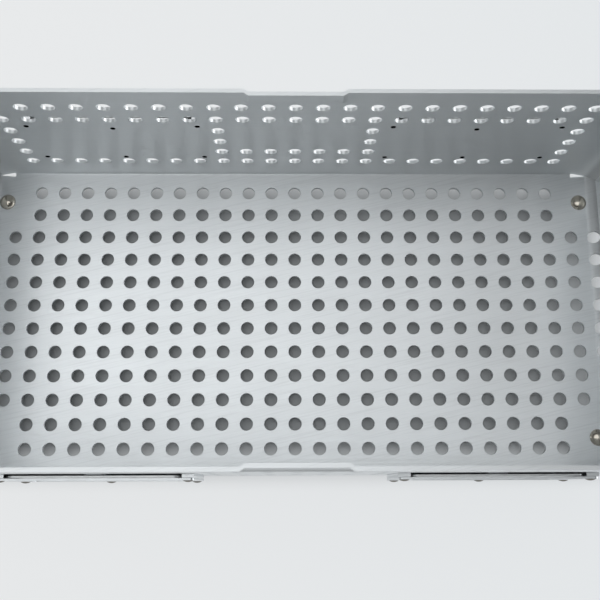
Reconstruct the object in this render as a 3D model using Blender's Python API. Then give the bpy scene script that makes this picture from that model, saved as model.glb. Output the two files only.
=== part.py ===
"""Perforated sterilization container: a folded aluminium box with riveted card holders and feet.

Metres, +Z up. The origin is under the middle of the box, on the surface that the feet stand on.
X runs along the box and Y across it, with the front at -Y.
"""
import math

import bmesh
import bpy
from mathutils import Matrix, Vector

# The folded sheet
SHEET = 0.0015
INNER_LENGTH = 0.271
INNER_WIDTH = 0.1285
WALL_HEIGHT = 0.0762
CORNER_RADIUS = 0.012
END_BEND_RADIUS = 0.0085
SIDE_BEND_RADIUS = 0.0008
CORNER_STEPS = 4
END_BEND_STEPS = 4
SIDE_BEND_STEPS = 2
NEUTRAL_LINE_SHARE = 0.4

# Its perforation
PITCH = 0.010
HOLE_DIAMETER = 0.0053
HOLE_SIDES = 5
EDGE_MARGIN = 0.0065
CORNER_FIELD_WIDTH = 0.024
TOP_ROW_DROP = 0.012
LOW_ROW_RISE = 0.012
MIDDLE_FIELD_WIDTH = 0.050
MIDDLE_FIELD_DROP = 0.027
MIDDLE_FIELD_HEIGHT = 0.020

# Bend reliefs at the four floor corners
RELIEF_LEAD = 0.0018
RELIEF_LENGTH = 0.0063
RELIEF_WIDTH = 0.0017

# Pressed seats in the rim of both long walls
PRESS_WIDTH = 0.037
PRESS_DROP = 0.0065
PRESS_DEPTH = 0.0011
PRESS_SLOPE = 0.0017
PRESS_FOOT_SLOPE = 0.0004

# Feet and their rivets
FOOT_HEIGHT = 0.004
FOOT_RADIUS = 0.006
FOOT_RECESS_RADIUS = 0.0037
FOOT_RECESS_DEPTH = 0.0022
FOOT_END_INSET = 0.0110
FOOT_SIDE_INSET = 0.01335
FOOT_RIVET_RADIUS = 0.0016
FOOT_RIVET_HEAD_RADIUS = 0.0035
FOOT_RIVET_HEAD_HEIGHT = 0.0019
FOOT_RIVET_TAIL_RADIUS = 0.0030
FOOT_RIVET_TAIL_HEIGHT = 0.0007
FOOT_SIDES = 10
DOME_SHARES = ((0.36, 1.0), (0.78, 0.7), (1.0, 0.0))

# Card holders, two on each long wall
HOLDER_END_INSET = 0.0653
HOLDER_RISE = 0.0010
HOLDER_WIDTH = 0.070
HOLDER_HEIGHT = 0.0351
HOLDER_CORNER = 0.0015
RAIL_WIDTH = 0.0044
SILL_HEIGHT = 0.0058
SPACER_THICKNESS = 0.0011
FRAME_THICKNESS = 0.0008
WINDOW_LIP = 0.0030
WINDOW_TOP_BAR = 0.0044
WINDOW_CORNER = 0.0020
CARD_THICKNESS = 0.0005
CARD_TOP_DROP = 0.0012
CARD_CORNER = 0.0025
CARD_SIDE_GAP = 0.0004
SPRING_THICKNESS = 0.0003
SPRING_WIDTH = 0.009
SPRING_TOP_DROP = 0.0016
SPRING_SILL_GAP = 0.0037
SPRING_RIVET_DROP = 0.0041
RIVET_RADIUS = 0.0010
RIVET_HEAD_RADIUS = 0.0019
RIVET_HEAD_HEIGHT = 0.0004
RIVET_HEAD_TOP_SHARE = 0.55
RIVET_SIDE_INSET = 0.0024
RIVET_TOP_INSET = 0.0022
RIVET_LOW_RISE = 0.0034
RIVET_SIDES = 6

# Clearances, and how far a cutter reaches past what it cuts
SEAT_GAP = 0.0003
STACK_GAP = 0.0002
OVERRUN = 0.004

# Levels and places worked out from the sizes above
UNDERSIDE = FOOT_HEIGHT + SEAT_GAP
FLOOR_TOP = UNDERSIDE + SHEET
RIM = FLOOR_TOP + WALL_HEIGHT
HALF_LENGTH = INNER_LENGTH / 2
HALF_WIDTH = INNER_WIDTH / 2
WALL_FACE = HALF_WIDTH + SHEET
FOOT_X = HALF_LENGTH - FOOT_END_INSET
FOOT_Y = HALF_WIDTH - FOOT_SIDE_INSET
FLAT_HALF_LENGTH = HALF_LENGTH - END_BEND_RADIUS
FLAT_HALF_WIDTH = HALF_WIDTH - SIDE_BEND_RADIUS
FLOOR_REACH = int((FLAT_HALF_LENGTH - EDGE_MARGIN) / PITCH)
FLOOR_ROWS = 2 * int((FLAT_HALF_WIDTH - EDGE_MARGIN) / PITCH + 0.5)
WALL_REACH = int((HALF_LENGTH - CORNER_RADIUS - EDGE_MARGIN) / PITCH)
WALL_ROWS = 1 + int((WALL_HEIGHT - TOP_ROW_DROP - LOW_ROW_RISE) / PITCH)
LOWEST_ROW = RIM - TOP_ROW_DROP - (WALL_ROWS - 1) * PITCH
HOLDER_BASE = LOWEST_ROW + HOLDER_RISE
HOLDER_X = HALF_LENGTH - HOLDER_END_INSET
SLOT_DEPTH = STACK_GAP + SPACER_THICKNESS + STACK_GAP
FRAME_FACE = SLOT_DEPTH + FRAME_THICKNESS


def make_material(name, colour, roughness, metallic):
    material = bpy.data.materials.new(name)
    material.use_nodes = True
    shader = material.node_tree.nodes["Principled BSDF"]
    shader.inputs["Base Color"].default_value = (*colour, 1.0)
    shader.inputs["Roughness"].default_value = roughness
    shader.inputs["Metallic"].default_value = metallic
    material.diffuse_color = (*colour, 1.0)
    return material


def add_object(name, shape, material=None, parent=None, location=(0, 0, 0)):
    """An object from a bmesh; smooth only across shallow edges."""
    bmesh.ops.recalc_face_normals(shape, faces=shape.faces)
    mesh = bpy.data.meshes.new(name)
    shape.to_mesh(mesh)
    shape.free()
    item = bpy.data.objects.new(name, mesh)
    bpy.context.collection.objects.link(item)
    if material:
        mesh.materials.append(material)
        mesh.shade_smooth()
        mesh.set_sharp_from_angle(angle=math.radians(35))
    item.parent = parent
    item.location = location
    return item


def add_guide(name, shape):
    """A cutter: drawn as wire and left out of renders."""
    guide = add_object(name, shape)
    guide.display_type = "WIRE"
    guide.hide_render = True
    return guide


def cut(item, operation, guide):
    modifier = item.modifiers.new(guide.name, "BOOLEAN")
    modifier.operation = operation
    modifier.solver = "EXACT"
    modifier.object = guide


def add_prism(shape, outline, direction):
    """A closed prism from an outline of 3-D points, extruded by a vector."""
    face = shape.faces.new([shape.verts.new(point) for point in outline])
    copy = bmesh.ops.extrude_face_region(shape, geom=[face])
    moved = [part for part in copy["geom"] if isinstance(part, bmesh.types.BMVert)]
    bmesh.ops.translate(shape, verts=moved, vec=direction)


def add_post(shape, centre, direction, radius, depth, sides):
    """A closed post centred on a point, one corner of its section upwards or backwards."""
    turn = Vector((0, 0, 1)).rotation_difference(Vector(direction)).to_matrix().to_4x4()
    roll = Matrix.Rotation(math.radians(90), 4, "Z")
    bmesh.ops.create_cone(shape, cap_ends=True, segments=sides, radius1=radius, radius2=radius,
                          depth=depth, matrix=Matrix.Translation(centre) @ turn @ roll)


def round_outline(width, height, radius, steps):
    """A rectangle's outline with round corners, about its centre."""
    points = []
    for quarter, (sx, sy) in enumerate(((1, 1), (-1, 1), (-1, -1), (1, -1))):
        for step in range(steps + 1):
            angle = math.radians(90) * (quarter + step / steps)
            points.append((sx * (width / 2 - radius) + radius * math.cos(angle),
                           sy * (height / 2 - radius) + radius * math.sin(angle)))
    return points


def add_turned(shape, profile, sides, ring=False):
    """Rings of (radius, height) about Z, capped at both ends, or closed on themselves as a ring."""
    rings = []
    for radius, height in profile:
        angles = [2 * math.pi * side / sides for side in range(sides)]
        rings.append([shape.verts.new((radius * math.cos(a), radius * math.sin(a), height)) for a in angles])
    pairs = list(zip(rings, rings[1:]))
    if ring:
        pairs.append((rings[-1], rings[0]))
    else:
        shape.faces.new(rings[0])
        shape.faces.new(rings[-1])
    for lower, upper in pairs:
        for side in range(sides):
            after = (side + 1) % sides
            shape.faces.new((lower[side], lower[after], upper[after], upper[side]))


def trough_outline(half_span, depth, radius, steps, top):
    """A section of the box across one axis: straight sides, rounded at the bottom, open height to top."""
    points = [(-half_span, top)]
    for start in (180, 270):
        side = -1 if start == 180 else 1
        for step in range(steps + 1):
            angle = math.radians(start + 90 * step / steps)
            points.append((side * (half_span - radius) + radius * math.cos(angle),
                           depth + radius + radius * math.sin(angle)))
    points.append((half_span, top))
    return points


def box_form(name, grow, depth, top):
    """The box's form, grown from its inner faces: plan, end section and side section in common."""
    half_length = HALF_LENGTH + grow
    half_width = HALF_WIDTH + grow
    plan = bmesh.new()
    outline = round_outline(2 * half_length, 2 * half_width, CORNER_RADIUS + grow, CORNER_STEPS)
    add_prism(plan, [(x, y, depth - OVERRUN) for x, y in outline], (0, 0, top - depth + OVERRUN))
    ends = bmesh.new()
    outline = trough_outline(half_length, depth, END_BEND_RADIUS + grow, END_BEND_STEPS, top + OVERRUN)
    add_prism(ends, [(x, -half_width - OVERRUN, z) for x, z in outline],
              (0, 2 * (half_width + OVERRUN), 0))
    sides = bmesh.new()
    outline = trough_outline(half_width, depth, SIDE_BEND_RADIUS + grow, SIDE_BEND_STEPS, top + OVERRUN)
    add_prism(sides, [(-half_length - OVERRUN, y, z) for y, z in outline],
              (2 * (half_length + OVERRUN), 0, 0))
    return plan, add_guide(name + "_end_section", ends), add_guide(name + "_side_section", sides)


def floor_places():
    """Hole centres on the flat floor: a square grid, two columns short in the rows along the walls."""
    for row in range(FLOOR_ROWS):
        y = (row - (FLOOR_ROWS - 1) / 2) * PITCH
        corner = HALF_WIDTH - abs(y) < CORNER_FIELD_WIDTH
        reach = FLOOR_REACH - (1 if corner else 0)
        for column in range(-reach, reach + 1):
            yield column * PITCH, y, corner


def in_plain_field(x, z):
    """Whether a hole would lie behind a card holder, or in the plain field at the wall's middle."""
    holder_side = abs(abs(x) - HOLDER_X) < (HOLDER_WIDTH + HOLE_DIAMETER) / 2
    holder_level = HOLDER_BASE < z < HOLDER_BASE + HOLDER_HEIGHT
    field_top = RIM - MIDDLE_FIELD_DROP
    middle_level = field_top - MIDDLE_FIELD_HEIGHT < z < field_top
    return holder_side and holder_level or abs(x) < MIDDLE_FIELD_WIDTH / 2 and middle_level


def wall_places():
    """Hole centres on a long wall, around its plain fields."""
    for row in range(WALL_ROWS):
        z = RIM - TOP_ROW_DROP - row * PITCH
        for column in range(-WALL_REACH, WALL_REACH + 1):
            if not in_plain_field(column * PITCH, z):
                yield column * PITCH, z


def bend_place():
    """The next column along the sheet lies in the end bend: its angle, and its place on the inner face."""
    along = (FLOOR_REACH + 1) * PITCH - FLAT_HALF_LENGTH
    angle = along / (END_BEND_RADIUS + NEUTRAL_LINE_SHARE * SHEET)
    x = FLAT_HALF_LENGTH + END_BEND_RADIUS * math.sin(angle)
    return angle, x, END_BEND_RADIUS * (1 - math.cos(angle))


def perforation():
    """Every hole's cutter; a wall hole's one passes through both long walls."""
    shape = bmesh.new()
    radius = HOLE_DIAMETER / 2
    through = SHEET + 2 * OVERRUN
    mid_sheet = UNDERSIDE + SHEET / 2
    angle, bend_x, bend_z = bend_place()
    for x, y, corner in floor_places():
        add_post(shape, (x, y, mid_sheet), (0, 0, 1), radius, through, HOLE_SIDES)
        if x == 0 and not corner:
            for side in (-1, 1):
                normal = Vector((side * math.sin(angle), 0, -math.cos(angle)))
                place = Vector((side * bend_x, y, FLOOR_TOP + bend_z)) + normal * SHEET / 2
                add_post(shape, place, normal, radius, through, HOLE_SIDES)
    for x, z in wall_places():
        add_post(shape, (x, 0, z), (0, 1, 0), radius, 2 * (WALL_FACE + OVERRUN), HOLE_SIDES)
    return shape


def holder_rivet_places():
    """(x, z) from the middle of a holder's lower edge: four corners and the sill's middle."""
    x = HOLDER_WIDTH / 2 - RIVET_SIDE_INSET
    low = RIVET_LOW_RISE
    high = HOLDER_HEIGHT - RIVET_TOP_INSET
    return {"low_left": (-x, low), "low_middle": (0, low), "low_right": (x, low),
            "high_left": (-x, high), "high_right": (x, high)}


def spring_rivet_place():
    return 0, HOLDER_HEIGHT - SPRING_RIVET_DROP


def rivet_holes():
    """Cutters for the holes of the feet's rivets and of the holders' rivets."""
    shape = bmesh.new()
    for sx in (-1, 1):
        for sy in (-1, 1):
            add_post(shape, (sx * FOOT_X, sy * FOOT_Y, UNDERSIDE + SHEET / 2), (0, 0, 1),
                     clear_radius(FOOT_RIVET_RADIUS, HOLE_SIDES), SHEET + 2 * OVERRUN, HOLE_SIDES)
        for x, z in (*holder_rivet_places().values(), spring_rivet_place()):
            add_post(shape, (sx * HOLDER_X + x, 0, HOLDER_BASE + z), (0, 1, 0),
                     clear_radius(RIVET_RADIUS, HOLE_SIDES), 2 * (WALL_FACE + OVERRUN), HOLE_SIDES)
    return shape


def clear_radius(radius, sides):
    """The corner radius of a hole of so many sides whose flats clear a shank."""
    return (radius + SEAT_GAP) / math.cos(math.pi / sides)


def bend_reliefs():
    """Cutters for the gaps at the ends of both side bends, which begin a little before each corner."""
    shape = bmesh.new()
    start = HALF_LENGTH - CORNER_RADIUS - RELIEF_LEAD
    low = HALF_WIDTH - RELIEF_WIDTH
    high = HALF_WIDTH + SHEET / 2
    for sx in (-1, 1):
        for sy in (-1, 1):
            end = start + RELIEF_LENGTH
            corners = ((start, low), (end, low), (end, high), (start, high))
            add_prism(shape, [(sx * x, sy * y, UNDERSIDE - OVERRUN) for x, y in corners],
                      (0, 0, OVERRUN + SHEET + SIDE_BEND_RADIUS))
    return shape


def pressed_form(outer_face, face, top):
    """A pressed seat's form on both long walls: straight from outer_face to face, then tapering inwards."""
    shape = bmesh.new()
    wide = PRESS_WIDTH / 2
    sections = ((outer_face, wide, PRESS_DROP), (face, wide, PRESS_DROP),
                (face - PRESS_DEPTH, wide - PRESS_SLOPE, PRESS_DROP - PRESS_FOOT_SLOPE))
    for sy in (-1, 1):
        loops = []
        for y, half, drop in sections:
            corners = ((-half, RIM - drop), (half, RIM - drop), (half, top), (-half, top))
            loops.append([shape.verts.new((x, sy * y, z)) for x, z in corners])
        shape.faces.new(loops[0])
        shape.faces.new(loops[-1])
        for first, second in zip(loops, loops[1:]):
            for side in range(4):
                after = (side + 1) % 4
                shape.faces.new((first[side], first[after], second[after], second[side]))
    return shape


def make_body(material):
    """One folded sheet: plain form, hollowed, perforated, relieved and pressed."""
    plan, ends, sides = box_form("outer", SHEET, UNDERSIDE, RIM)
    body = add_object("body", plan, material)
    cut(body, "INTERSECT", ends)
    cut(body, "INTERSECT", sides)
    plan, ends, sides = box_form("inner", 0.0, FLOOR_TOP, RIM + OVERRUN)
    hollow = add_guide("inner_plan", plan)
    cut(hollow, "INTERSECT", ends)
    cut(hollow, "INTERSECT", sides)
    cut(body, "DIFFERENCE", hollow)
    bumps = pressed_form(HALF_WIDTH + SHEET / 2, HALF_WIDTH, RIM)
    cut(body, "UNION", add_guide("rim_bumps", bumps))
    seats = pressed_form(WALL_FACE + OVERRUN, WALL_FACE, RIM + OVERRUN)
    cut(body, "DIFFERENCE", add_guide("rim_seats", seats))
    cut(body, "DIFFERENCE", add_guide("bend_reliefs", bend_reliefs()))
    cut(body, "DIFFERENCE", add_guide("perforation", perforation()))
    cut(body, "DIFFERENCE", add_guide("rivet_holes", rivet_holes()))
    return body


def make_feet(foot_material, rivet_material):
    """Four ring feet, each held by a domed rivet whose tail closes in the foot's recess."""
    bore = clear_radius(FOOT_RIVET_RADIUS, FOOT_SIDES)
    foot_profile = ((FOOT_RECESS_RADIUS, 0), (FOOT_RADIUS, 0), (FOOT_RADIUS, FOOT_HEIGHT),
                    (bore, FOOT_HEIGHT), (bore, FOOT_RECESS_DEPTH), (FOOT_RECESS_RADIUS, FOOT_RECESS_DEPTH))
    seat = FLOOR_TOP + SEAT_GAP
    tail = FOOT_RECESS_DEPTH - SEAT_GAP
    rivet_profile = [(FOOT_RIVET_HEAD_RADIUS * wide, seat + FOOT_RIVET_HEAD_HEIGHT * high)
                     for wide, high in DOME_SHARES]
    rivet_profile += [(FOOT_RIVET_RADIUS, seat), (FOOT_RIVET_RADIUS, tail),
                      (FOOT_RIVET_TAIL_RADIUS, tail), (FOOT_RIVET_TAIL_RADIUS, tail - FOOT_RIVET_TAIL_HEIGHT)]
    for row, sy in (("front", -1), ("back", 1)):
        for end, sx in (("left", -1), ("right", 1)):
            place = (sx * FOOT_X, sy * FOOT_Y, 0)
            shape = bmesh.new()
            add_turned(shape, foot_profile, FOOT_SIDES, ring=True)
            add_object(f"{row}_{end}_foot", shape, foot_material, location=place)
            shape = bmesh.new()
            add_turned(shape, rivet_profile, FOOT_SIDES)
            add_object(f"{row}_{end}_foot_rivet", shape, rivet_material, location=place)


def plate(outline, back, thickness):
    """A flat plate on a wall: outline in (x, z), its back at a distance out from the wall's face."""
    shape = bmesh.new()
    add_prism(shape, [(x, -back, z) for x, z in outline], (0, -thickness, 0))
    return shape


def rivet_hole_cutter(name, places, holder):
    shape = bmesh.new()
    for x, z in places:
        add_post(shape, (x, -FRAME_FACE / 2, z), (0, 1, 0), clear_radius(RIVET_RADIUS, HOLE_SIDES),
                 FRAME_FACE + 2 * OVERRUN, HOLE_SIDES)
    guide = add_guide(name, shape)
    guide.parent = holder
    return guide


def make_spacer(name, material, holder, holes):
    """A U of sheet that sets the slot's width and depth, open at the top."""
    side = HOLDER_WIDTH / 2
    inner = side - RAIL_WIDTH
    outline = ((-side, HOLDER_CORNER), (-side + HOLDER_CORNER, 0), (side - HOLDER_CORNER, 0),
               (side, HOLDER_CORNER), (side, HOLDER_HEIGHT), (inner, HOLDER_HEIGHT),
               (inner, SILL_HEIGHT), (-inner, SILL_HEIGHT), (-inner, HOLDER_HEIGHT), (-side, HOLDER_HEIGHT))
    spacer = add_object(name, plate(outline, STACK_GAP, SPACER_THICKNESS), material, holder)
    cut(spacer, "DIFFERENCE", holes)


def window_outline():
    """The window, centred between the rails, above the sill and under the top bar."""
    width = HOLDER_WIDTH - 2 * (RAIL_WIDTH + WINDOW_LIP)
    low = SILL_HEIGHT + WINDOW_LIP
    high = HOLDER_HEIGHT - WINDOW_TOP_BAR
    middle = (low + high) / 2
    return [(x, z + middle) for x, z in round_outline(width, high - low, WINDOW_CORNER, 1)]


def make_frame(name, material, holder, holes):
    """The front plate with its window."""
    outline = [(x, z + HOLDER_HEIGHT / 2)
               for x, z in round_outline(HOLDER_WIDTH, HOLDER_HEIGHT, HOLDER_CORNER, 1)]
    frame = add_object(name, plate(outline, SLOT_DEPTH, FRAME_THICKNESS), material, holder)
    window = add_guide(name + "_window",
                       plate(window_outline(), SLOT_DEPTH - OVERRUN, FRAME_THICKNESS + 2 * OVERRUN))
    window.parent = holder
    cut(frame, "DIFFERENCE", window)
    cut(frame, "DIFFERENCE", holes)


def make_card(name, material, holder):
    """A blank plate with round corners that slides up out of the slot; its origin is on its sill."""
    width = HOLDER_WIDTH - 2 * (RAIL_WIDTH + CARD_SIDE_GAP)
    sill = SILL_HEIGHT + SEAT_GAP
    height = HOLDER_HEIGHT - CARD_TOP_DROP - sill
    outline = [(x, z + height / 2) for x, z in round_outline(width, height, CARD_CORNER, 2)]
    back = SLOT_DEPTH - STACK_GAP - CARD_THICKNESS
    add_object(name, plate(outline, back, CARD_THICKNESS), material, holder, location=(0, 0, sill))


def make_spring(name, material, holder):
    """A flat leaf spring behind the card, held at its upper end."""
    low = SILL_HEIGHT + SPRING_SILL_GAP
    high = HOLDER_HEIGHT - SPRING_TOP_DROP
    outline = [(x, z + (low + high) / 2)
               for x, z in round_outline(SPRING_WIDTH, high - low, SPRING_WIDTH / 4, 1)]
    spring = add_object(name, plate(outline, STACK_GAP, SPRING_THICKNESS), material, holder)
    cut(spring, "DIFFERENCE", rivet_hole_cutter(name + "_hole", [spring_rivet_place()], holder))


def make_rivet(name, profile, material, holder, place):
    """A rivet whose profile runs out from the wall's face, at (x, z) on its holder."""
    shape = bmesh.new()
    add_turned(shape, profile, RIVET_SIDES)
    bmesh.ops.rotate(shape, verts=shape.verts, matrix=Matrix.Rotation(math.radians(90), 3, "X"))
    x, z = place
    add_object(name, shape, material, holder, location=(x, 0, z))


def make_holder(row, end, sy, sx, sheet, rivet, spring):
    """Spacer, front frame, card, leaf spring and six rivets on an empty at the wall's face."""
    holder = bpy.data.objects.new(f"{row}_{end}_holder", None)
    bpy.context.collection.objects.link(holder)
    holder.location = (sx * HOLDER_X, sy * WALL_FACE, HOLDER_BASE)
    holder.rotation_euler = (0, 0, math.pi if sy > 0 else 0)
    name = f"{row}_{end}"
    places = holder_rivet_places()
    holes = rivet_hole_cutter(name + "_holes", places.values(), holder)
    make_spacer(name + "_spacer", sheet, holder, holes)
    make_frame(name + "_frame", sheet, holder, holes)
    make_card(name + "_card", sheet, holder)
    make_spring(name + "_leaf_spring", spring, holder)
    seat = FRAME_FACE + STACK_GAP
    head = ((RIVET_HEAD_RADIUS * RIVET_HEAD_TOP_SHARE, seat + RIVET_HEAD_HEIGHT), (RIVET_HEAD_RADIUS, seat),
            (RIVET_RADIUS, seat), (RIVET_RADIUS, -SHEET))
    for corner, place in places.items():
        make_rivet(f"{name}_rivet_{corner}", head, rivet, holder, place)
    flush = ((RIVET_RADIUS, STACK_GAP + SPRING_THICKNESS), (RIVET_RADIUS, -SHEET))
    make_rivet(name + "_spring_rivet", flush, rivet, holder, spring_rivet_place())


def main():
    for item in list(bpy.data.objects):
        bpy.data.objects.remove(item, do_unlink=True)
    sheet = make_material("satin_aluminium", (0.62, 0.65, 0.67), 0.34, 1.0)
    steel = make_material("polished_steel", (0.70, 0.70, 0.69), 0.14, 1.0)
    spring = make_material("spring_steel", (0.52, 0.52, 0.53), 0.28, 1.0)
    silicone = make_material("grey_silicone", (0.20, 0.21, 0.22), 0.60, 0.0)
    make_body(sheet)
    make_feet(silicone, steel)
    for row, sy in (("front", -1), ("back", 1)):
        for end, sx in (("left", -1), ("right", 1)):
            make_holder(row, end, sy, sx, sheet, steel, spring)


main()
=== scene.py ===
"""A perforated sterilization container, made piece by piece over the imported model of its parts.

Metres, +Z up, the front at -Y. The sections follow the order in which the container is put together.
"""
import math

import bmesh
import bpy
from mathutils import Matrix, Vector


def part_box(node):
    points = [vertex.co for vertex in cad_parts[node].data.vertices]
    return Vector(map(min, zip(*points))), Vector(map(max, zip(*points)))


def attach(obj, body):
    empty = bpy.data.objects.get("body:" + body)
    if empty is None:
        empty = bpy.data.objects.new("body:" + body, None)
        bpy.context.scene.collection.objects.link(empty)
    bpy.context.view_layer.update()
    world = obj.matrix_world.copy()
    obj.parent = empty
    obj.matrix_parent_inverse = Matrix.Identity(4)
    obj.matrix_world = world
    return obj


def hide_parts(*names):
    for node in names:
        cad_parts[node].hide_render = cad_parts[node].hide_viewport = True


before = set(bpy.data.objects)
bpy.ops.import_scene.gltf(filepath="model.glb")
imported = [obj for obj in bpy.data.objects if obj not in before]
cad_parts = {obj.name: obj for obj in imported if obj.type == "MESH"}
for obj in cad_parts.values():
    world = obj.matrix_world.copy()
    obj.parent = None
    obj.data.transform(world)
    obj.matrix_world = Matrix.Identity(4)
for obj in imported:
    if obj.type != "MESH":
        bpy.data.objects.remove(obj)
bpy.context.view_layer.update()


# The folded sheet. One blank of 1.5 mm aluminium is punched full of holes, its two long walls are folded up
# sharply and its ends more gently, and the rounded corners are welded. The whole box is then brushed and
# anodised. It is the body that everything else is riveted to.

SHEET = 0.0015
WALL_CORNER = 0.012       # inner radius of the upright corners
END_BEND = 0.0085         # inner radius between the floor and the ends
SIDE_BEND = 0.0008        # inner radius between the floor and the long walls
CORNER_FACETS = 12
END_FACETS = 10
SIDE_FACETS = 4
RIM_ROUNDING = 0.00035    # the rim is dressed by hand until it is safe to touch
FINE_FACETS = 2           # of any fine rounding
OVERRUN = 0.010           # how far the form of the hollow reaches past the rim

ALONG = 0.9               # from this share of a direction on, it counts as along an axis
ACROSS = 0.1              # and below this share as across it
SAME = 1e-6               # what lies closer than this is one place
SHARP_FOLD = 1.0          # radians

sheet_low, sheet_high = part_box("body")
floor_top = sheet_low.z + SHEET
sheet_middle = sheet_low.z + SHEET / 2
rim = sheet_high.z
wall_out = sheet_high.y
wall_in = sheet_high.y - SHEET
wall_middle = wall_in + SHEET / 2
end_in = sheet_high.x - SHEET


def only(piece):
    """Nothing but this piece selected, and active."""
    bpy.ops.object.select_all(action="DESELECT")
    piece.select_set(True)
    bpy.context.view_layer.objects.active = piece


def settle(piece):
    """The piece's place, turn and size go into its mesh."""
    only(piece)
    bpy.ops.object.transform_apply(location=True, rotation=True, scale=True)
    return piece


def block(name, low, high):
    """A box between two corners, as the start of a piece or a cutter."""
    bpy.ops.object.select_all(action="DESELECT")
    middle = [(a + b) / 2 for a, b in zip(low, high)]
    bpy.ops.mesh.primitive_cube_add(size=1, location=middle, scale=[b - a for a, b in zip(low, high)])
    bpy.context.object.name = name
    return settle(bpy.context.object)


def edit(piece, kind, wanted):
    """Opens the piece with what is wanted selected: faces by middle and normal, edges also by their fold."""
    only(piece)
    bpy.ops.object.mode_set(mode="EDIT")
    bpy.ops.mesh.select_mode(type=kind)
    bpy.ops.mesh.select_all(action="DESELECT")
    mesh = bmesh.from_edit_mesh(piece.data)
    if kind == "EDGE":
        for edge in mesh.edges:
            start, end = (corner.co for corner in edge.verts)
            fold = edge.calc_face_angle(0)
            edge.select_set(bool(wanted((start + end) / 2, (end - start).normalized(), fold)))
    else:
        for face in mesh.faces:
            face.select_set(bool(wanted(face.calc_center_median(), face.normal)))
    bmesh.update_edit_mesh(piece.data)


def done():
    bpy.ops.object.mode_set(mode="OBJECT")


def everything(middle, normal):
    return True


def round_edges(piece, radius, facets, wanted):
    """Rounds the edges that are wanted."""
    edit(piece, "EDGE", wanted)
    bpy.ops.mesh.bevel(offset=radius, segments=facets, affect="EDGES", clamp_overlap=True)
    done()


def combine(piece, tool, operation):
    """Cuts, adds or intersects with a tool, which is used up, as is the empty material slot that it leaves."""
    only(piece)
    modifier = piece.modifiers.new("tool", "BOOLEAN")
    modifier.operation = operation
    modifier.solver = "MANIFOLD"
    modifier.object = tool
    bpy.ops.object.modifier_apply(modifier=modifier.name)
    bpy.data.objects.remove(tool, do_unlink=True)
    piece.data.materials.clear()


def trough(name, grow, base, top):
    """The box's form, grown from its inner faces: upright corners, end bends and side bends in common."""
    low = (-end_in - grow, -wall_in - grow, base)
    high = (end_in + grow, wall_in + grow, top)
    plan = block(name, low, high)
    round_edges(plan, WALL_CORNER + grow, CORNER_FACETS, lambda middle, along, fold: abs(along.z) > ALONG)
    ends = block("end_form", (low[0], low[1] - SHEET, base), (high[0], high[1] + SHEET, top + SHEET))
    round_edges(ends, END_BEND + grow, END_FACETS,
                lambda middle, along, fold: abs(along.y) > ALONG and middle.z < base + SHEET / 2)
    combine(plan, ends, "INTERSECT")
    sides = block("side_form", (low[0] - SHEET, low[1], base), (high[0] + SHEET, high[1], top + SHEET))
    round_edges(sides, SIDE_BEND + grow, SIDE_FACETS,
                lambda middle, along, fold: abs(along.x) > ALONG and middle.z < base + SHEET / 2)
    combine(plan, sides, "INTERSECT")
    return plan


container = trough("perforated_box", SHEET, sheet_low.z, rim)
combine(container, trough("hollow", 0, floor_top, rim + OVERRUN), "DIFFERENCE")

# Where the lid's clip bears, the rim is pressed in by 1.1 mm over 37 mm at the middle of both long walls.
PRESS_WIDTH = 0.037
PRESS_DROP = 0.0065
PRESS_DEPTH = 0.0011
PRESS_SLOPE = 0.0017      # at both ends of the pressed seat
PRESS_FOOT = 0.0004       # slope along its lower edge
PRESS_FOOT_ROUNDING = 0.0009
PRESS_FOOT_FACETS = 4
PRESS_END_ROUNDING = 0.0004
PRESS_END_FACETS = 3
LEANING = 0.5             # the edges at its ends lean, so they run less upright than ALONG asks
SLIGHT_FOLD = 0.2         # radians


def pressing(side, outer, inner, top):
    """The punch for one pressed seat, its working face smaller and that face's edges rounded."""
    low = (-PRESS_WIDTH / 2, min(side * outer, side * inner), rim - PRESS_DROP)
    high = (PRESS_WIDTH / 2, max(side * outer, side * inner), top)
    height = top - low[2]
    face = side * (inner - PRESS_DEPTH)
    punch = block("punch", low, high)
    edit(punch, "FACE", lambda middle, normal: normal.y * side < -ALONG)
    bpy.ops.mesh.inset(thickness=0)
    bpy.ops.transform.translate(value=(0, -side * PRESS_DEPTH, 0))
    bpy.ops.transform.resize(value=(1 - 2 * PRESS_SLOPE / PRESS_WIDTH, 1, 1 - PRESS_FOOT / height),
                             center_override=(0, side * inner, top))
    done()
    round_edges(punch, PRESS_FOOT_ROUNDING, PRESS_FOOT_FACETS,
                lambda middle, along, fold: abs(middle.y - face) < SAME and abs(along.x) > ALONG
                and middle.z < rim - PRESS_DROP / 2)
    round_edges(punch, PRESS_END_ROUNDING, PRESS_END_FACETS,
                lambda middle, along, fold: abs(middle.y - face) < SAME and abs(along.z) > LEANING
                and fold > SLIGHT_FOLD)
    return punch


for side in (-1, 1):
    combine(container, pressing(side, wall_middle, wall_in, rim), "UNION")
    combine(container, pressing(side, wall_out + SHEET, wall_out, rim + SHEET), "DIFFERENCE")

# The rim's ring-shaped face is divided into triangles before its edges are rounded.
edit(container, "FACE", lambda middle, normal: normal.z > ALONG and middle.z > rim - SHEET)
bpy.ops.mesh.quads_convert_to_tris()
done()
round_edges(container, RIM_ROUNDING, FINE_FACETS,
            lambda middle, along, fold: middle.z > rim - SAME and fold > SHARP_FOLD)

# At each floor corner a wedge-shaped relief, cut before folding, lets the side bend end cleanly.
RELIEF_GAP = 0.0018       # from the end of the upright corner to the relief
RELIEF_LENGTH = 0.0063
RELIEF_WIDTH = 0.0017
RELIEF_POINT = 0.3        # share of its width that is left at its far end

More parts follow.
